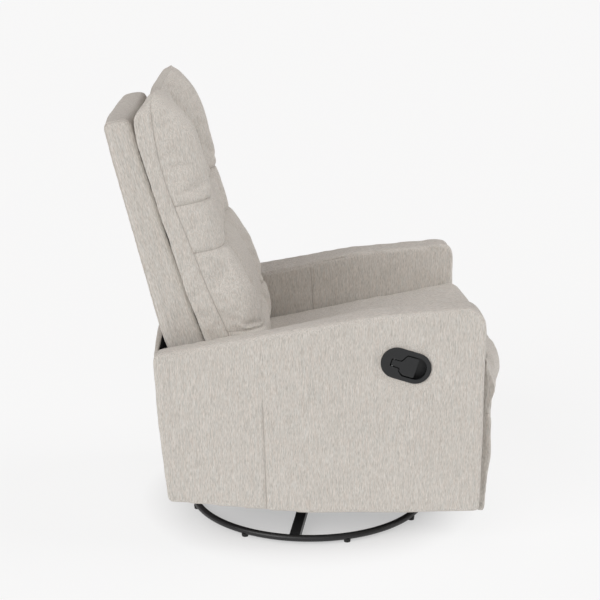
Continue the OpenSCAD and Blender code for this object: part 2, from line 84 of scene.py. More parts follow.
def normals_of(obj):
    normals = np.empty(len(obj.data.vertices) * 3)
    obj.data.vertex_normals.foreach_get("vector", normals)
    return normals.reshape(-1, 3)


def apply_modifiers(obj):
    """Bakes the object's modifiers into its mesh."""
    graph = bpy.context.evaluated_depsgraph_get()
    mesh = bpy.data.meshes.new_from_object(obj.evaluated_get(graph))
    obj.modifiers.clear()
    old = obj.data
    obj.data = mesh
    bpy.data.meshes.remove(old)
    mesh.polygons.foreach_set("use_smooth", [True] * len(mesh.polygons))


def remesh(obj, voxel):
    modifier = obj.modifiers.new("Remesh", "REMESH")
    modifier.mode = "VOXEL"
    modifier.voxel_size = voxel
    apply_modifiers(obj)


def subdivide(obj):
    modifier = obj.modifiers.new("Subdivision", "SUBSURF")
    modifier.levels = modifier.render_levels = 1
    apply_modifiers(obj)


def soften(obj, rounds, share=0.5):
    """Evens out a mesh: each round moves every point part of the way to its neighbours' mean."""
    points = points_of(obj)
    ends = np.empty(len(obj.data.edges) * 2, int)
    obj.data.edges.foreach_get("vertices", ends)
    a, b = ends.reshape(-1, 2).T
    count = np.bincount(ends, minlength=len(points))[:, None]
    for _ in range(rounds):
        total = np.zeros_like(points)
        for axis in range(3):
            total[:, axis] = (np.bincount(a, points[b, axis], len(points))
                              + np.bincount(b, points[a, axis], len(points)))
        points += share * (total / count - points)
    move_points(obj, points)


def smooth_step(x, low, high):
    t = np.clip((x - low) / (high - low), 0, 1)
    return t * t * (3 - 2 * t)


def waves(points, length, seed, count=28):
    """Smooth random hills of about that wavelength, from -1 to 1 or a little more."""
    dice = np.random.default_rng(SEED * 1000 + seed)
    total = np.zeros(len(points))
    for _ in range(count):
        way = dice.normal(size=3)
        way *= 2 * math.pi / length / np.linalg.norm(way) * dice.uniform(0.6, 1.5)
        total += np.sin(points @ way + dice.uniform(0, 2 * math.pi))
    return total / math.sqrt(count)


def beside(points, line):
    """Signed distance of side-view points from a line of joined straight stretches."""
    best = np.full(len(points), 1.0)
    for start, end in zip(line[:-1], line[1:]):
        start, end = np.array(start) * MM, np.array(end) * MM
        way = end - start
        share = np.clip((points - start) @ way / (way @ way), 0, 1)
        off = points - (start + share[:, None] * way)
        signed = np.hypot(off[:, 0], off[:, 1]) * np.sign(way[0] * off[:, 1] - way[1] * off[:, 0])
        best = np.where(np.abs(signed) < np.abs(best), signed, best)
    return best


def nearest(*distances):
    """One signed field that is zero on every seam and changes smoothly between them."""
    stack = np.array(distances)
    return np.prod(np.sign(stack), axis=0) * np.abs(stack).min(axis=0)


def crease(distance, width, depth):
    """A sewn seam's valley: depth at the seam, fading out over about width."""
    return -depth * np.exp(-np.abs(distance) / width)


def store(obj, attribute, values):
    """Keeps one number for each point, which the cloth's material reads."""
    layer = obj.data.attributes.new(attribute, "FLOAT", "POINT")
    layer.data.foreach_set("value", np.asarray(values, np.float32))


def sew(obj, distance):
    """Stores each point's distance from its nearest seam."""
    store(obj, "seam", distance)


def paint_lining_gap_shade(obj, hidden):
    """Marks, from 0 to 1, where the cloth is painted the near black of the lining: painted shade for the
    narrow gap between the back cushion and its shell.
    """
    store(obj, "lining_gap_shade", hidden)


def end_outline(node, side):
    """The outline of a CAD slab's flat end on side -1 or 1 of X, as ordered (forward, up) points."""
    mesh = frame["nodes"][node].data
    co = np.array([v.co for v in mesh.vertices])
    end = (co[:, 0] * side).max()
    key = [tuple(np.round(v[1:], 6)) for v in co]
    ways = set()
    for face in mesh.polygons:
        corners = list(face.vertices)
        if all(co[i, 0] * side > end - 1e-5 for i in corners):
            for i, j in zip(corners, corners[1:] + corners[:1]):
                ways.add((key[i], key[j]))
    follow = {a: b for a, b in ways if (b, a) not in ways}
    loops = []
    while follow:
        loop = [next(iter(sorted(follow)))]
        while loop[-1] in follow:
            loop.append(follow.pop(loop[-1]))
        loops.append(loop[:-1])
    longest = max(loops, key=lambda loop: max(p[1] for p in loop) - min(p[1] for p in loop))
    return [(-y, z) for y, z in longest]


def slab(name, outline, x0, x1, voxel, rounds):
    """A solid with a side view's outline between two X, with soft edges, made of even small faces."""
    n = len(outline)
    verts = [(x, -f, z) for x in (x0, x1) for f, z in outline]
    faces = [tuple(range(n)), tuple(range(n, 2 * n))]
    faces += [(i, (i + 1) % n, n + (i + 1) % n, n + i) for i in range(n)]
    obj = new_object(name, verts, faces)
    remesh(obj, voxel)
    soften(obj, rounds)
    return obj


def puff(obj, pressure, cap, loose, grow=0.02, frames=20):
    """Lets the cover swell as cloth. loose is 1 where a point is free and 0 where it is sewn down."""
    start = points_of(obj)
    group = obj.vertex_groups.new(name="sewn")
    for i, share in enumerate(1 - loose):
        if share > 0:
            group.add([i], float(share), "REPLACE")
    modifier = obj.modifiers.new("Cloth", "CLOTH")
    cloth = modifier.settings
    cloth.quality = 5
    cloth.mass = 0.3
    cloth.tension_stiffness = cloth.compression_stiffness = 15
    cloth.shear_stiffness = 5
    cloth.bending_stiffness = 0.5
    cloth.vertex_group_mass = "sewn"
    cloth.pin_stiffness = 1
    cloth.use_pressure = True
    cloth.uniform_pressure_force = pressure
    cloth.shrink_min = cloth.shrink_max = -grow
    cloth.effector_weights.gravity = 0
    modifier.collision_settings.use_collision = False
    scene = bpy.context.scene
    modifier.point_cache.frame_start = 1
    modifier.point_cache.frame_end = frames
    for number in range(1, frames + 1):
        scene.frame_set(number)
    graph = bpy.context.evaluated_depsgraph_get()
    swollen = points_of(obj.evaluated_get(graph))
    obj.modifiers.clear()
    scene.frame_set(1)
    step = swollen - start
    length = np.linalg.norm(step, axis=1)
    move_points(obj, start + step * np.minimum(1, cap / np.maximum(length, 1e-9))[:, None])


def box_grid(name, a_values, b_values, c_values, place):
    """A closed box of quads whose lattice points, each from 0 to 1, are put in space by place(a, b, c)."""
    sizes = (len(a_values) - 1, len(b_values) - 1, len(c_values) - 1)
    index, lattice, faces = {}, [], []

    def point(i, j, k):
        if (i, j, k) not in index:
            index[(i, j, k)] = len(lattice)
            lattice.append((a_values[i], b_values[j], c_values[k]))
        return index[(i, j, k)]

    for axis in range(3):
        u, v = [other for other in range(3) if other != axis]
        for end in (0, sizes[axis]):
            for m in range(sizes[u]):
                for n in range(sizes[v]):
                    corners = []
                    for dm, dn in ((0, 0), (1, 0), (1, 1), (0, 1)):
                        spot = [0, 0, 0]
                        spot[axis], spot[u], spot[v] = end, m + dm, n + dn
                        corners.append(point(*spot))
                    faces.append(corners)
    lattice = np.array(lattice)
    return new_object(name, place(*lattice.T), faces), lattice


# ---------- Materials ----------

def srgb(r, g, b):
    """A colour for a socket, from 0 to 255 screen values."""
    return tuple(((c / 255 + 0.055) / 1.055) ** 2.4 if c > 10 else c / 3295 for c in (r, g, b)) + (1,)


class Nodes:
    """A short way to build a material's node tree."""

    def __init__(self, name, **sockets):
        self.material = bpy.data.materials.new(name)
        self.material.use_nodes = True
        self.tree = self.material.node_tree
        self.shader = self.tree.nodes["Principled BSDF"]
        for socket, value in sockets.items():
            self.shader.inputs[socket.replace("_", " ")].default_value = value
        self.coords = self.tree.nodes.new("ShaderNodeTexCoord")

    def link(self, source, target):
        self.tree.links.new(source, target)

    def add(self, kind, inputs=None, **values):
        node = self.tree.nodes.new("ShaderNode" + kind)
        for key, value in values.items():
            setattr(node, key, value)
        for socket, value in (inputs or {}).items():
            if isinstance(value, bpy.types.NodeSocket):
                self.link(value, node.inputs[socket])
            else:
                node.inputs[socket].default_value = value
        return node

    def place(self, scale, turn=(0, 0, 0)):
        """Object coordinates, turned and then stretched."""
        turned = self.add("Mapping", {"Vector": self.coords.outputs["Object"], "Rotation": turn})
        return self.add("Mapping", {"Vector": turned.outputs[0], "Scale": scale}).outputs[0]

    def noise(self, vector, detail=2.0, roughness=0.5, scale=1.0):
        return self.add("TexNoise", {"Vector": vector, "Scale": scale, "Detail": detail,
                                     "Roughness": roughness}).outputs["Fac"]

    def math(self, operation, a, b=0.0):
        return self.add("Math", {0: a, 1: b}, operation=operation).outputs[0]

    def mix(self, share, a, b):
        node = self.add("Mix", {"Factor": share, 6: a, 7: b}, data_type="RGBA")
        return node.outputs[2]

    def blend_values(self, share, a, b):
        return self.add("Mix", {"Factor": share, 2: a, 3: b}).outputs[0]

    def ramp(self, value, *stops):
        node = self.add("ValToRGB", {"Fac": value})
        elements = node.color_ramp.elements
        while len(elements) < len(stops):
            elements.new(0.5)
        for element, (position, colour) in zip(elements, stops):
            element.position = position
            element.color = colour
        return node.outputs["Color"]

    def span(self, value, low, high, to_low=0.0, to_high=1.0):
        node = self.add("MapRange", {"Value": value, "From Min": low, "From Max": high,
                                     "To Min": to_low, "To Max": to_high})
        return node.outputs[0]

    def bump(self, height, distance, strength=1.0):
        node = self.add("Bump", {"Height": height, "Distance": distance, "Strength": strength})
        self.link(node.outputs["Normal"], self.shader.inputs["Normal"])

    def colour(self, value):
        self.link(value, self.shader.inputs["Base Color"])

    def rough(self, value):
        self.link(value, self.shader.inputs["Roughness"])


THREADS = 900          # threads to the metre


def linen(name, lean=0.0):
    """Heathered linen-look cloth. Its long threads run up the piece, and forward where it faces up.
    lean turns them about X, for a piece that leans back."""
    n = Nodes(name, Roughness=0.9, Sheen_Weight=0.1, Sheen_Roughness=0.5, Specular_IOR_Level=0.2)
    turn = (lean, 0, 0)
    normal = n.add("SeparateXYZ", {0: n.coords.outputs["Normal"]}).outputs
    facing_up = n.span(n.math("ABSOLUTE", normal[2]), 0.62, 0.8)

    def streaks(across, along, detail=1.0):
        upright = n.noise(n.place((across, across, along), turn), detail)
        lying = n.noise(n.place((across, along, across), turn), detail)
        return n.blend_values(facing_up, upright, lying)

    fine = streaks(1250, 105)
    slubs = streaks(700, 34)
    long = streaks(430, 9)
    tint = streaks(760, 46)
    cloudy = n.noise(n.place((6, 6, 6)), 2.0)
    tone = n.math("ADD", n.math("MULTIPLY", fine, 0.62),
                  n.math("ADD", n.math("MULTIPLY", slubs, 0.26), n.math("MULTIPLY", long, 0.12)))
    heather = n.ramp(tone, (0.33, srgb(146, 140, 132)), (0.46, srgb(187, 182, 174)),
                     (0.54, srgb(207, 203, 196)), (0.68, srgb(229, 226, 221)))
    warmth = n.ramp(tint, (0.36, srgb(188, 189, 185)), (0.5, srgb(200, 195, 188)),
                    (0.64, srgb(211, 199, 189)))
    colour = n.mix(0.38, heather, warmth)
    worn = n.mix(n.span(cloudy, 0.3, 0.7, 0.0, 0.1), colour, srgb(186, 179, 170))
    seam = n.math("ABSOLUTE", n.add("Attribute", attribute_name="seam").outputs["Fac"])
    stitched = n.span(seam, 0.0003, 0.0013, 1.0, 0.0)
    valley = n.span(seam, 0.0, 0.006, 1.0, 0.0)
    # Within about 6 mm of a seam the cloth is darkened towards brown: painted shade in the seam's crease.
    # The narrower stitched line is the seam's own dark line.
    valley_painted_shade = n.mix(n.math("MULTIPLY", valley, 0.12), worn, srgb(140, 128, 118))
    cloth = n.mix(n.math("MULTIPLY", stitched, 0.36), valley_painted_shade, srgb(104, 91, 82))
    # The lining mark paints the cloth near black. This is the lining's colour, put on the back shell's
    # pocket and the back cushion's rear as painted shade, so the gap between them reads as black.
    lining_gap_shade = n.add("Attribute", attribute_name="lining_gap_shade").outputs["Fac"]
    n.colour(n.mix(lining_gap_shade, cloth, srgb(26, 22, 20)))

    thread = n.place((THREADS, THREADS, THREADS), turn)
    weave = n.add("TexVoronoi", {"Vector": thread, "Scale": 1.0, "Randomness": 0.35},
                  distance="CHEBYCHEV").outputs["Distance"]
    relief = n.math("ADD", n.math("MULTIPLY", fine, 1.3), n.math("MULTIPLY", weave, -0.45))
    height = n.math("SUBTRACT", relief, n.math("MULTIPLY", valley, 1.6))
    n.bump(height, 0.0006, 0.7)
    n.rough(n.span(fine, 0.3, 0.7, 0.96, 0.82))
    return n.material


def black_cloth():
    n = Nodes("black_lining", Roughness=1.0, Specular_IOR_Level=0.1)
    fibre = n.noise(n.place((900, 900, 900)), 3.0)
    n.colour(n.ramp(fibre, (0.3, (0.002, 0.002, 0.002, 1)), (0.7, (0.009, 0.009, 0.009, 1))))
    n.bump(fibre, 0.0004, 0.6)
    return n.material


def painted_steel(name, shade):
    """Satin powder coat, with the fine texture of sprayed powder and rubbed edges."""
    n = Nodes(name, Roughness=0.4, Specular_IOR_Level=0.5)
    peel = n.noise(n.place((420, 420, 420)), 3.0, 0.6)
    patches = n.noise(n.place((14, 14, 14)), 3.0)
    dark = tuple(c * 0.75 for c in shade[:3]) + (1,)
    base = n.ramp(patches, (0.3, dark), (0.7, shade))
    edge = n.add("NewGeometry").outputs["Pointiness"]
    n.colour(n.mix(n.span(edge, 0.53, 0.6, 0.0, 0.25), base, srgb(70, 71, 73)))
    n.rough(n.span(patches, 0.3, 0.7, 0.34, 0.48))
    n.bump(peel, 0.0003, 0.35)
    return n.material


def bare_metal(name, shade, rough, brushed):
    n = Nodes(name, Metallic=1.0, Roughness=rough)
    patches = n.noise(n.place((30, 30, 30)), 4.0, 0.6)
    lines = n.noise(n.place((60, brushed, brushed)), 3.0)
    n.colour(n.ramp(patches, (0.3, tuple(c * 0.8 for c in shade[:3]) + (1,)), (0.7, shade)))
    n.rough(n.span(lines, 0.3, 0.7, rough * 0.8, rough * 1.25))
    n.bump(lines, 0.0002, 0.3)
    return n.material


def moulded_plastic(name, shade, rough, grain):
    """Injection-moulded plastic with a fine leathery grain."""
    n = Nodes(name, Roughness=rough, Specular_IOR_Level=0.45)
    cells = n.add("TexVoronoi", {"Vector": n.place((grain,) * 3), "Scale": 1.0},
                  feature="SMOOTH_F1").outputs["Distance"]
    patches = n.noise(n.place((25, 25, 25)), 3.0)
    n.colour(n.ramp(patches, (0.3, tuple(c * 0.8 for c in shade[:3]) + (1,)), (0.7, shade)))
    n.rough(n.span(patches, 0.3, 0.7, rough * 0.9, rough * 1.12))
    n.bump(cells, 0.0003, 0.4)
    return n.material


def wood():
    """Sawn softwood: growth rings stretched along the grain, with fine pores."""
    n = Nodes("frame_wood", Roughness=0.65, Specular_IOR_Level=0.3)
    bend = n.noise(n.place((3, 3, 3)), 3.0)
    rings = n.add("TexWave", {"Vector": n.place((1.0, 9, 9)), "Scale": 3.0, "Distortion": 6.0,
                              "Detail": 3.0, "Detail Scale": 1.2}, bands_direction="Y")
    pores = n.noise(n.place((40, 700, 700)), 2.0)
    grain = n.mix(n.span(bend, 0.3, 0.7), srgb(206, 170, 122), srgb(186, 146, 98))
    streaked = n.mix(n.math("MULTIPLY", rings.outputs["Fac"], 0.45), grain, srgb(150, 108, 66))
    n.colour(n.mix(n.span(pores, 0.4, 0.7, 0.0, 0.35), streaked, srgb(120, 84, 50)))
    n.bump(pores, 0.0004, 0.5)
    return n.material


CLOTH = linen("linen_upright")
CLOTH_SHELL = linen("linen_shell", lean=math.radians(14))
CLOTH_BACK = linen("linen_back", lean=math.radians(8))
LINING = black_cloth()
SLOT_MATERIALS = {
    "black_lining": LINING,
    "black_steel": painted_steel("black_steel", (0.011, 0.011, 0.012, 1)),
    "dark_steel": painted_steel("dark_steel", (0.022, 0.023, 0.025, 1)),
    "zinc_steel": bare_metal("zinc_steel", (0.56, 0.57, 0.58, 1), 0.38, 300),
    "bearing_steel": bare_metal("bearing_steel", (0.66, 0.66, 0.67, 1), 0.16, 90),
    "spring_steel": bare_metal("spring_steel", (0.2, 0.21, 0.23, 1), 0.42, 500),
    "black_plastic": moulded_plastic("black_plastic", (0.0125, 0.0135, 0.0145, 1), 0.46, 1400),
    "cable_jacket": moulded_plastic("cable_jacket", (0.01, 0.01, 0.011, 1), 0.5, 900),
    "nylon": moulded_plastic("nylon", (0.76, 0.74, 0.69, 1), 0.4, 1200),
    "foot_rubber": moulded_plastic("foot_rubber", (0.012, 0.012, 0.012, 1), 0.7, 1800),
    "frame_wood": wood(),
    "upholstery": CLOTH,
}
CLOTH_WRAPPED = ("footrest_board", "seat_front_rail", "seat_side_rails")   # wood that shows


def finish_cad_nodes():
    """Gives every CAD node its slot's material and a small bevel on its hard edges."""
    slot_of = {entry["node"]: entry["material_slot"] for entry in frame["record"]["subparts"]}
    for name, obj in frame["nodes"].items():
        material = CLOTH if name in CLOTH_WRAPPED else SLOT_MATERIALS[slot_of[name]]
        obj.data.materials.clear()
        obj.data.materials.append(material)
        for face in obj.data.polygons:
            face.material_index = 0
        bevel = obj.modifiers.new("Bevel", "BEVEL")
        bevel.width = 0.0007
        bevel.segments = 2
        bevel.limit_method = "ANGLE"
        bevel.angle_limit = math.radians(38)


def dress(obj, node, body, material):
    """Hangs a finished soft piece on its body in place of its CAD solid."""
    obj.data.materials.clear()
    obj.data.materials.append(material)
    if "seam" not in obj.data.attributes:
        sew(obj, np.ones(len(obj.data.vertices)))
    # Pieces that set no lining mark get no painted gap shade.
    if "lining_gap_shade" not in obj.data.attributes:
        paint_lining_gap_shade(obj, np.zeros(len(obj.data.vertices)))
    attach(obj, body)
    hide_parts(node)


# ---------- Camera, light and floor ----------

def make_camera():
    """The view from the chair's right, a little behind its middle, from above."""
    data = bpy.data.cameras.new("camera")
    data.lens = 86.5
    data.sensor_width = 36
    data.clip_end = 200
    camera = bpy.data.objects.new("camera", data)
    camera.location = (-3.352, 0.115, 1.460)
    camera.rotation_mode = "QUATERNION"
    heading = math.radians(-1.573)
    tilt = math.radians(-15.87)
    way = (math.cos(tilt) * math.cos(heading), math.cos(tilt) * math.sin(heading), math.sin(tilt))
    camera.rotation_quaternion = Vector(way).to_track_quat("-Z", "Y")
    bpy.context.scene.collection.objects.link(camera)
    bpy.context.scene.camera = camera


def make_studio():
    """Soft suns, a dim world, and a floor that glows except near the chair, where it takes shadows."""
    world = bpy.data.worlds.new("studio")
    world.use_nodes = True
    sky = world.node_tree.nodes["Background"]
    sky.inputs["Color"].default_value = (1.08, 0.95, 0.93, 1)
    sky.inputs["Strength"].default_value = 0.18
    bpy.context.scene.world = world
    bpy.context.scene.view_settings.view_transform = "Standard"
    bpy.context.scene.view_settings.look = "None"

    for name, strength, spread, height, heading in (
        ("key", 1.56, 40, 30, 225),
        ("front", 1.36, 40, 30, 0),
        ("side", 0.5, 40, 30, 270),
        ("top", 0.31, 40, 90, 0),
    ):
        data = bpy.data.lights.new(name, "SUN")
        data.energy = strength
        data.angle = math.radians(spread)
        light = bpy.data.objects.new(name, data)
        up, round_z = math.radians(height), math.radians(heading)
        source = (math.cos(up) * math.sin(round_z), math.cos(up) * math.cos(round_z) * -1, math.sin(up))
        light.rotation_mode = "QUATERNION"
        light.rotation_quaternion = Vector(source).to_track_quat("Z", "Y")
        bpy.context.scene.collection.objects.link(light)

    floor = new_object("floor", [(-40, -40, 0), (40, -40, 0), (40, 40, 0), (-40, 40, 0)], [(0, 1, 2, 3)])
    n = Nodes("floor_glow", Roughness=0.95, Specular_IOR_Level=0.05)
    # The floor glows, and its colour darkens as the glow grows away from the chair. This is painted light:
    # it keeps the floor evenly white away from the chair, lets the floor take shadows only near the chair,
    # and lights the chair from below.
    reach = n.add("VectorMath", {0: n.coords.outputs["Object"]}, operation="LENGTH").outputs["Value"]
    away = n.span(reach, 0.27, 0.42)
    n.colour(n.mix(away, (0.5, 0.5, 0.5, 1), (0.13, 0.13, 0.13, 1)))
    n.shader.inputs["Emission Color"].default_value = (1, 1, 1, 1)
    n.link(n.blend_values(away, 0.43, 0.825), n.shader.inputs["Emission Strength"])
    floor.data.materials.append(n.material)


# ---------- Arms ----------

VOXEL = 0.006
LEVER_TILT = math.radians(17.5)


def lever_hollow(points):
    """How far inside the release cup's outline each point lies, seen from the side, in metres."""
    low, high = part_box("lever_cup")
    wide, tall = high[1] - low[1], high[2] - low[2]
    straight = (wide - tall) / (math.cos(LEVER_TILT) - math.sin(LEVER_TILT))
    radius = (tall - straight * math.sin(LEVER_TILT)) / 2
    forward = -points[:, 1] + (low[1] + high[1]) / 2
    up = points[:, 2] - (low[2] + high[2]) / 2
    along = forward * math.cos(LEVER_TILT) - up * math.sin(LEVER_TILT)
    across = forward * math.sin(LEVER_TILT) + up * math.cos(LEVER_TILT)
    past_end = np.maximum(np.abs(along) - straight / 2, 0)
    return radius - np.hypot(past_end, across)


BAND_SEAM = [(-346, 457), (-296, 484), (34, 541), (296, 577), (345, 560), (360, 529), (377, 412)]
PANEL_SEAM = [(-115, 353), (-107, 96)]
INNER_SEAM = [(12, 522), (19, 400)]
FRONT_CORNER = (0.368, 0.568)   # an arm's upper front corner, seen from the side


def arm(side):
    """An arm's tight cover, crowned a little over its wooden frame."""
    word = "right" if side < 0 else "left"
    name = "arm_cover_" + word
    low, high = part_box(name)
    obj = slab("arm_upholstery_" + word, end_outline(name, 1), low[0], high[0], VOXEL, 6)
    subdivide(obj)
    p, nrm = points_of(obj), normals_of(obj)
    side_view = np.column_stack([-p[:, 1], p[:, 2]])
    facing = np.abs(nrm[:, 0])
    outer = nrm[:, 0] * side > 0.6
    inner = nrm[:, 0] * side < -0.6
    band = beside(side_view, BAND_SEAM)
    panel = beside(side_view, PANEL_SEAM)
    lining = beside(side_view, INNER_SEAM)
    sewn_band = np.where(p[:, 1] > -0.1, band, 0.03)
    seam = np.where(outer, panel, np.where(inner, nearest(sewn_band, lining), 1.0))
    crown = crease(np.where(outer | inner, band, 1.0), 0.006, 0.0016)
    middle = smooth_step(0.27 - np.abs(p[:, 2] - 0.33), 0.0, 0.2)
    middle *= smooth_step(0.37 - np.abs(p[:, 1]), 0, 0.15)
    swell = 0.0025 * facing * middle + 0.0015 * np.clip(nrm[:, 2], 0, 1)
    ripple = 0.0007 * waves(p, 0.17, 1 + side) + 0.0002 * waves(p, 0.045, 5 + side)
    shape = swell + ripple + crown + crease(seam, 0.003, 0.0009)
    if side < 0:
        into = lever_hollow(p)
        shape -= (swell + 0.0026) * smooth_step(into, -0.022, 0.0) * (nrm[:, 0] < -0.5)
    p += nrm * shape[:, None]
    corner = np.exp(-(np.hypot(*(side_view - FRONT_CORNER).T) / 0.03) ** 2)
    from_outer = max(-low[0], high[0]) - np.abs(p[:, 0])
    inside = smooth_step(from_outer, 0.02, 0.078)
    if side < 0:
        p += np.outer(corner, (0, 0.003, -0.001))
    else:                       # the left arm's front corner is stuffed fuller than the right's
        p += np.outer(corner * inside, (0, -0.005, 0.009))
        p += np.outer(corner * (1 - inside), (0, -0.002, 0.006))
    worn_edge = smooth_step(from_outer, 0.015, 0.075) * smooth_step(p[:, 2], 0.42, 0.46)
    p[:, 2] -= 0.009 * worn_edge * smooth_step(p[:, 1], -0.15, 0.1)
    if side < 0:
        p[(into > 0.0055) & (nrm[:, 0] < -0.2), 0] += 0.03
    move_points(obj, p)
    sew(obj, seam)
    dress(obj, name, "carriage", CLOTH)


# ---------- Back ----------

CUSHION_HALF = round(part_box("seat_cushion")[1][0], 6)   # half the width of back cushion, seat and footrest


def curve_through(points, at):
    """Smooth curve through ordered points, read at fractional point numbers."""
    points = np.array(points, float)
    at = np.asarray(at, float)
    i = np.clip(at.astype(int), 0, len(points) - 2)
    t = (at - i)[:, None]
    before, after = points[np.maximum(i - 1, 0)], points[np.minimum(i + 2, len(points) - 1)]
    a, b = points[i], points[i + 1]
    return (a * (2 * t**3 - 3 * t**2 + 1) + (b - before) / 2 * (t**3 - 2 * t**2 + t)
            + b * (3 * t**2 - 2 * t**3) + (after - a) / 2 * (t**3 - t**2))


def back_shell():
    """The cover of the back's frame. In front, behind the cushion, it is a pocket, painted the near black of
    the lining as painted shade for the gap round the cushion.
    """
    low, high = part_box("back_shell")
    outline = end_outline("back_shell", 1)
    obj = slab("back_shell_upholstery", outline, low[0], high[0], VOXEL, 3)
    subdivide(obj)
    p, nrm = points_of(obj), normals_of(obj)
    side_view = np.column_stack([-p[:, 1], p[:, 2]])
    loop = [(f / MM, z / MM) for f, z in outline + outline[:1]]
    from_edge = np.abs(beside(side_view, loop))
    from_side = high[0] - np.abs(p[:, 0])
    seam = np.where(nrm[:, 1] > -0.5, from_edge - from_side, 1.0)
    above = smooth_step(p[:, 2], 0.47, 0.62)
    swell = 0.003 * np.clip(nrm[:, 1], 0, 1) * smooth_step(from_side, 0.0, 0.12) * above
    swell += 0.0012 * np.abs(nrm[:, 0]) * above
    ripple = 0.0006 * waves(p, 0.15, 21) + 0.0002 * waves(p, 0.05, 22)
    p += nrm * (swell + ripple + crease(seam, 0.003, 0.0012))[:, None]
    pocket = (nrm[:, 1] < -0.6) & (np.abs(p[:, 0]) < high[0] - 0.012) & (p[:, 2] < high[2] - 0.075)
    p[pocket, 1] += 0.018
    move_points(obj, p)
    sew(obj, seam)
    # The pocket's front faces, short of the shell's sides and top, get the lining's near black: painted
    # shade for the gap behind the cushion.
    gap_shade_mask = smooth_step(high[0] - 0.006 - np.abs(p[:, 0]), 0.0, 0.002) * (p[:, 2] < high[2] - 0.07)
    paint_lining_gap_shade(obj, gap_shade_mask * (nrm[:, 1] < -0.6))
    dress(obj, "back_shell", "back", CLOTH_SHELL)


# Side views of the back cushion, in millimetres (forward, up), from the seat to the top, level by
# level: its rear edge, the seam round its front panel, and the crest of its outer channels.
REAR_EDGE = [(-212, 384), (-232, 446), (-249, 498), (-270, 562), (-291, 624), (-313, 694),
             (-326, 738), (-340, 783), (-356, 838), (-371, 888), (-384, 941), (-386, 985),
             (-372, 1011), (-356, 1034)]
FRONT_SEAM = [(-158, 396), (-177, 450), (-194, 505), (-219, 562), (-243, 622), (-266, 687),
              (-285, 737), (-306, 792), (-322, 837), (-335, 886), (-345, 940), (-350, 988),
              (-352, 1017), (-350, 1036)]
CREST = [(-96, 404), (-98, 450), (-107, 505), (-129, 564), (-153, 624), (-195, 696),
         (-214, 748), (-228, 803), (-238, 840), (-247, 885), (-261, 940), (-283, 981),
         (-309, 1016), (-336, 1045)]
SEAM_LEVELS = (2, 5, 7)        # where the cushion is sewn through from side to side
CHANNEL_X = 0.125              # the valleys between its three channels
LEVEL_STEP = 0.062             # rough sizes on its cover: from level to level,
SIDE_DEPTH = 0.06              # across a side panel,
HALF_FRONT = 0.3               # and over the front from its seam to the middle


def from_seam(level):
    """1 on a cross seam of the back cushion, falling to 0 away from it."""
    return np.exp(-np.min([np.abs(level - k) for k in SEAM_LEVELS], axis=0) / 0.16)


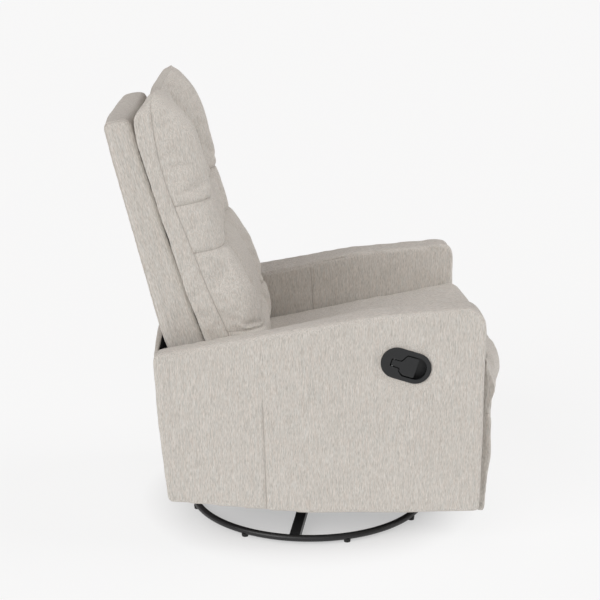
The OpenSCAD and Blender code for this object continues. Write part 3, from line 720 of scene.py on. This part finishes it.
def back_cushion():
    """Three padded channels, sewn through from side to side, under ears at the top corners."""
    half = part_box("back_cushion")[1][0]
    levels = len(FRONT_SEAM) - 1
    steps = 9
    c_values = np.linspace(0, 1, levels * steps + 1)
    b_values = np.linspace(0, 1, 7)
    a_values = np.linspace(0, 1, 91)
    flank = 0.32                # share of a half section that climbs from seam to crest
    flank_width = 0.055

    def section(a):
        """X, and how far the front stands out, from 0 at the seam to 1 at the crest."""
        s = 1 - np.abs(2 * a - 1)
        climb = np.clip(s / flank, 0, 1) * math.pi / 2
        across = np.clip((s - flank) / (1 - flank), 0, 1)
        x = np.where(s < flank, half - flank_width * (1 - np.cos(climb)),
                     (half - flank_width) * (1 - across))
        return np.sign(a - 0.5) * x, np.sin(climb)

    def place(a, b, c):
        level = c * levels
        rear = curve_through(REAR_EDGE, level) * MM
        seam = curve_through(FRONT_SEAM, level) * MM
        crest = curve_through(CREST, level) * MM
        x, out = section(a)
        head = smooth_step(level, 7, 9.5)
        middle = smooth_step(0.24 - np.abs(x), 0, 0.14)
        rear[:, 0] += 0.017 * middle * smooth_step(level, 10, 12.5)
        skew = (x * smooth_step(level, 10, 12))[:, None]
        rear += skew * (0.012, 0.008)
        crest += skew * (0.03, 0.014)
        valley = np.exp(-((np.abs(x) - CHANNEL_X) / 0.026) ** 2)
        centre = smooth_step(CHANNEL_X + 0.04 - np.abs(x), 0, 0.075)
        out = out - valley * (0.2 - 0.14 * head + 0.12 * from_seam(level)) - centre * (0.08 + 0.64 * head)
        out = out * (1 - 0.08 * from_seam(level))
        front = seam + (crest - seam) * out[:, None]
        point = rear + (front - rear) * b[:, None]
        width = 1 - 0.05 * smooth_step(level, levels - 2.5, levels) ** 2
        top = smooth_step(level, levels - 2.2, levels)
        dip = 0.018 * np.clip(1 - (x / 0.19) ** 2, 0, 1)
        droop = 0.012 * smooth_step(np.abs(x), CUSHION_HALF - 0.027, CUSHION_HALF)
        return np.column_stack([x * width, -point[:, 0], point[:, 1] - top * (dip + droop)])

    obj, lattice = box_grid("back_cushion_tufted", a_values, b_values, c_values, place)
    a, b, c = lattice.T
    level = c * levels
    x = np.abs(section(a)[0])
    on_front = b > 0.999
    on_side = (a < 0.001) | (a > 0.999)
    across = nearest(*[(level - k) * LEVEL_STEP for k in SEAM_LEVELS])
    boxing = np.where(on_side, (b - 1) * SIDE_DEPTH, (1 - np.abs(2 * a - 1)) * HALF_FRONT)
    sew(obj, np.where(on_side, boxing, np.where(on_front, nearest(boxing, across), 1.0)))
    # The middle of the cushion's rear face, short of its sides and top, gets the lining's near black:
    # painted shade for the gap in front of the shell.
    gap_shade_mask = smooth_step(half - 0.027 - x, 0.0, 0.003) * (c < 0.74)
    paint_lining_gap_shade(obj, gap_shade_mask * (b < 0.001))
    tie = np.exp(-((x - CHANNEL_X) / 0.008) ** 2)
    loose = np.where(on_front & ~on_side, 1.0, 0.0)
    loose = np.where(on_front & (np.abs(across) < 0.001), 0.0, loose)
    loose = loose * (1 - 0.6 * tie)
    loose = np.where(c < 0.02, 0.0, loose)
    loose = np.where((b > 0.1) & (b < 0.9), 0.6, loose)
    puff(obj, 2.0, 0.009, loose, grow=0.05)
    soften(obj, 1, 0.25)
    subdivide(obj)
    p, nrm = points_of(obj), normals_of(obj)
    seam = np.empty(len(p), np.float32)
    obj.data.attributes["seam"].data.foreach_get("value", seam)
    flat = 0.0009 * waves(p, 0.11, 31) + 0.0003 * waves(p, 0.04, 32)
    gathers = np.exp(-np.abs(seam) / 0.018) * np.sin(p[:, 0] * 330 + 3 * waves(p, 0.2, 33))
    p += nrm * (flat + 0.0011 * gathers + crease(seam, 0.004, 0.0012))[:, None]
    move_points(obj, p)
    dress(obj, "back_cushion", "back", CLOTH_BACK)


# ---------- Seat and footrest ----------

def copy_of(node, name, voxel, rounds, shrink=0.0):
    """A remeshed, softened copy of a CAD solid, drawn in by shrink before it is stuffed."""
    source = frame["nodes"][node].data
    obj = bpy.data.objects.new(name, source.copy())
    bpy.context.scene.collection.objects.link(obj)
    remesh(obj, voxel)
    soften(obj, rounds)
    move_points(obj, points_of(obj) - normals_of(obj) * shrink)
    return obj


SEAT_VOXEL = 0.0066           # coarser, to keep the seat within the export's number of triangles


def seat_cushion():
    """A stuffed seat, whose nose rolls over the front rail."""
    obj = copy_of("seat_cushion", "seat_cushion_upholstered", SEAT_VOXEL, 5, 0.001)
    p, nrm = points_of(obj), normals_of(obj)
    forward = -p[:, 1]
    loose = np.clip(nrm[:, 2] * 1.6, 0, 1)
    nose = smooth_step(forward, 0.30, 0.40)
    loose *= smooth_step(CUSHION_HALF - np.abs(p[:, 0]), 0.003, 0.03)
    puff(obj, 2.5, 0.016 - 0.013 * nose, loose, grow=0.02)
    soften(obj, 2)
    subdivide(obj)
    p, nrm = points_of(obj), normals_of(obj)
    ends = smooth_step(np.abs(p[:, 0]), 0.12, CUSHION_HALF)
    corners = smooth_step(np.abs(p[:, 0]), 0.18, CUSHION_HALF) * smooth_step(p[:, 2], 0.42, 0.465)
    p[:, 1] += (0.007 * ends + 0.013 * corners) * smooth_step(-p[:, 1], 0.34, 0.42)
    p += nrm * (0.001 * waves(p, 0.14, 41) + 0.0003 * waves(p, 0.05, 42))[:, None]
    move_points(obj, p)
    dress(obj, "seat_cushion", "seat", CLOTH)


PINCH_Z = 0.303               # where the footrest's bolster meets its lower pad


def footrest_padding():
    """A bolster over a flatter pad, both drawn in at their ends and round the board's edges."""
    obj = copy_of("footrest_padding", "footrest_pads", 0.005, 3, 0.001)
    p, nrm = points_of(obj), normals_of(obj)
    forward = -p[:, 1]
    loose = smooth_step(forward, 0.398, 0.408) * smooth_step(CUSHION_HALF - np.abs(p[:, 0]), 0.001, 0.02)
    loose *= 1 - np.exp(-((p[:, 2] - PINCH_Z) / 0.006) ** 2)
    puff(obj, 2.5, 0.007, loose, grow=0.05)
    soften(obj, 1)
    subdivide(obj)
    p, nrm = points_of(obj), normals_of(obj)
    board = 0.002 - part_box("footrest_board")[0][1]      # just in front of the board's face
    ends = smooth_step(np.abs(p[:, 0]), 0.0, 0.255)
    ahead = np.maximum(-p[:, 1] - board, 0)
    p[:, 1] += ahead * 0.6 * ends
    shoulder = smooth_step(p[:, 2], 0.35, 0.41) * smooth_step(ahead, 0, 0.03)
    rim = smooth_step(np.abs(p[:, 0]), 0.232, 0.2385) * (1 - smooth_step(ahead, 0, 0.006))
    p[:, 1] += 0.013 * shoulder + 0.007 * rim * (p[:, 2] > 0.08)
    waist = np.exp(-((p[:, 2] - 0.33) / 0.022) ** 2)
    p[:, 1] += 0.009 * waist * ends * smooth_step(ahead, 0, 0.02)
    seam = np.where(-p[:, 1] > board, p[:, 2] - PINCH_Z, 1.0)
    gathers = np.exp(-np.abs(seam) / 0.016) * np.sin(p[:, 0] * 360 + 3 * waves(p, 0.2, 53))
    gathers *= 1 - 0.7 * smooth_step(np.abs(p[:, 0]), 0.2, 0.245)
    flat = 0.0008 * waves(p, 0.10, 51) + 0.0003 * waves(p, 0.04, 52)
    p += nrm * (flat + 0.0012 * gathers)[:, None]
    move_points(obj, p)
    sew(obj, seam)
    dress(obj, "footrest_padding", "footrest", CLOTH)


def rear_panel():
    """The padded panel between the arms, behind the seat."""
    obj = copy_of("rear_panel", "rear_panel_upholstered", 0.003, 3)
    p, nrm = points_of(obj), normals_of(obj)
    rise = smooth_step(0.25 - np.abs(p[:, 0]), 0, 0.12) * np.clip(nrm[:, 1], 0, 1)
    p += nrm * (0.003 * rise + 0.0006 * waves(p, 0.13, 61))[:, None]
    p[:, 1] += 0.004 * smooth_step(p[:, 2], 0.36, 0.44) * np.clip(nrm[:, 1] + 0.3, 0, 1)
    move_points(obj, p)
    dress(obj, "rear_panel", "carriage", CLOTH)


# ---------- Build ----------

make_camera()
make_studio()
finish_cad_nodes()
arm(-1)
arm(1)
back_shell()
back_cushion()
seat_cushion()
footrest_padding()
rear_panel()
